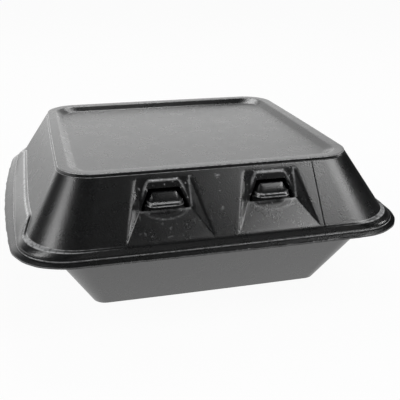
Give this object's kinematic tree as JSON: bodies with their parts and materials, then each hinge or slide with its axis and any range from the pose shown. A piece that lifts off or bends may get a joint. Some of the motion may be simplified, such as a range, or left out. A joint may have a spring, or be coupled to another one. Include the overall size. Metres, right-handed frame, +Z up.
{
  "type": "takeout container",
  "caption": "Black foam clamshell food container with a deep hinged lid and two front tab latches, for holding and carrying one hot meal.",
  "frame": {"origin": "under the middle of the outer box, on the surface the tray stands on", "axes": "+Z up, the latches face -Y and the fold is at +Y, +X to the right seen from the front"},
  "size_m": [0.232, 0.2286, 0.0816],
  "materials": {
    "black_foam": "fine-celled polystyrene foam with a satin skin",
    "black_foam_crushed": "the same foam, crushed thin along the fold"
  },
  "bodies": {
    "tray": {"base_tray": "black_foam", "fold_strip": "black_foam_crushed"},
    "lid": {"lid": "black_foam"},
    "tongue_left": {"latch_left": "black_foam"},
    "tongue_right": {"latch_right": "black_foam"}
  },
  "joints": [
    {"name": "lid_fold", "type": "hinge", "parent": "tray", "child": "lid", "pos_m": [0, 0.11257, 0.04383], "axis": [-1, 0, 0], "range_deg": [0, 180], "deforming": ["fold_strip"]},
    {"name": "latch_left_press", "type": "hinge", "parent": "tray", "child": "tongue_left", "pos_m": [0, -0.10178, 0.048], "axis": [-1, 0, 0], "range_deg": [0, 20], "stiffness_Nm_per_rad": 0.12},
    {"name": "latch_right_press", "type": "hinge", "parent": "tray", "child": "tongue_right", "pos_m": [0, -0.10178, 0.048], "axis": [-1, 0, 0], "range_deg": [0, 20], "stiffness_Nm_per_rad": 0.12}
  ]
}
